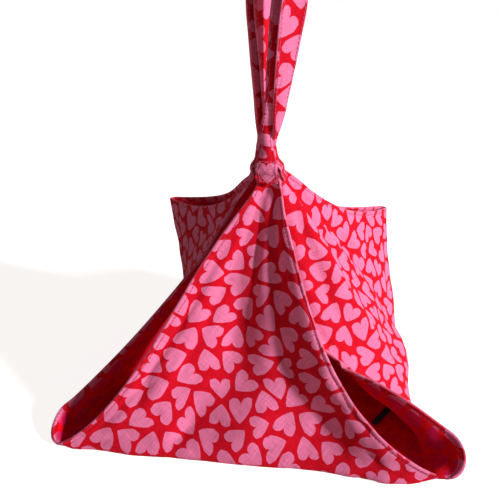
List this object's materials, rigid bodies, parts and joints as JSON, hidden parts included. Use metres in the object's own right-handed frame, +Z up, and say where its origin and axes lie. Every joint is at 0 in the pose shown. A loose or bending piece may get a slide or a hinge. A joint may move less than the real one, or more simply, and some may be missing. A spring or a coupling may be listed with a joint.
{
  "type": "cloth pie carrier",
  "caption": "Lined cotton carrier for a round pie dish, made from a square of cloth with its corners gathered at a knot and strap handles.",
  "frame": {"origin": "on the table, under the middle of the whole carrier", "axes": "+Z up, -Y towards the viewer of the front panel, +X to that viewer's right"},
  "size_m": [0.3468, 0.2436, 0.4916],
  "materials": {
    "printed_cotton": "plain woven cotton with a printed pattern of hearts",
    "lining_cotton": "the same printed cotton, in shade inside",
    "strap_cotton": "folded and topstitched printed cotton",
    "tab_twill": "bare black woven tape"
  },
  "bodies": {
    "cloth_body": {"outer_cloth": "printed_cotton", "lining_cloth": "lining_cotton", "front_strap_end": "strap_cotton", "right_strap_end": "strap_cotton", "back_strap_end": "strap_cotton", "left_strap_end": "strap_cotton", "inner_tab": "tab_twill"},
    "right_strap": {"right_handle": "strap_cotton"},
    "left_strap": {"left_handle": "strap_cotton"}
  },
  "joints": [
    {"name": "right_handle_fold", "type": "hinge", "parent": "cloth_body", "child": "right_strap", "pos_m": [0.00726, -0.01843, 0.2436], "axis": [0.7071, 0.7071, 0], "range_deg": [0, 95]},
    {"name": "left_handle_fold", "type": "hinge", "parent": "cloth_body", "child": "left_strap", "pos_m": [-0.00134, -0.00983, 0.2436], "axis": [-0.7071, -0.7071, 0], "range_deg": [0, 95]}
  ]
}
